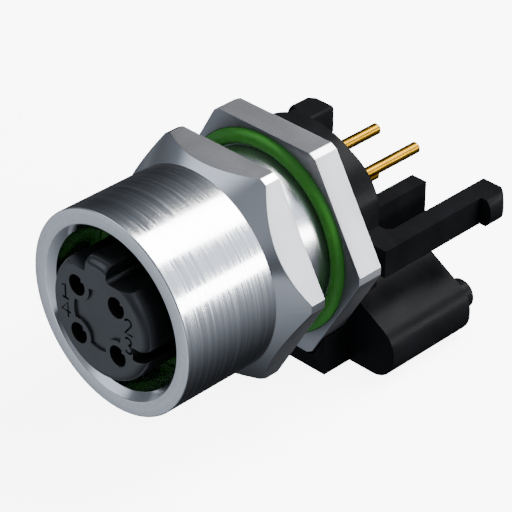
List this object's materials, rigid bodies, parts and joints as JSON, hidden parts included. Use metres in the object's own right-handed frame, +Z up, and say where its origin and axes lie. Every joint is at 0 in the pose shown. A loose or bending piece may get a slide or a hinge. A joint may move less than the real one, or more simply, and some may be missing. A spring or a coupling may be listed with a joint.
{
  "type": "round data connector",
  "caption": "Round panel data socket with a screw-on hexagon sleeve, keyed insert, sealing rings and a moulded carrier that clips to a printed board.",
  "frame": {"origin": "centre of the sleeve's front rim", "axes": "+Y back along the axis, from the mating end to the solder tails; +X to the right as seen from the mating end; +Z up"},
  "size_m": [0.0186, 0.028, 0.0162],
  "materials": {
    "sleeve_nickel": "turned nickel plate",
    "housing_nickel": "satin nickel plate",
    "green_rubber": "smooth green rubber",
    "insert_plastic": "fine matt black",
    "carrier_plastic": "satin black",
    "gold": "gold plate"
  },
  "bodies": {
    "housing": {"rear_housing": "housing_nickel", "panel_seal": "green_rubber", "socket_insert": "insert_plastic", "board_bracket": "carrier_plastic", "contact_1": "gold", "contact_2": "gold", "contact_3": "gold", "contact_4": "gold"},
    "sleeve_ring": {"mouth_seal": "green_rubber"},
    "sleeve": {"front_sleeve": "sleeve_nickel"}
  },
  "joints": [
    {"name": "sleeve_travel", "type": "slide", "parent": "housing", "child": "sleeve_ring", "axis": [0, 1, 0], "range_m": [-0.00101, 0.00263]},
    {"name": "sleeve_turn", "type": "hinge", "parent": "sleeve_ring", "child": "sleeve", "pos_m": [0, 0.005, 0], "axis": [0, 1, 0], "range_deg": [-360, 945]}
  ],
  "couplings": [
    {"joint": "sleeve_travel", "follows": "sleeve_turn", "m_per_rad": 0.00015915}
  ]
}
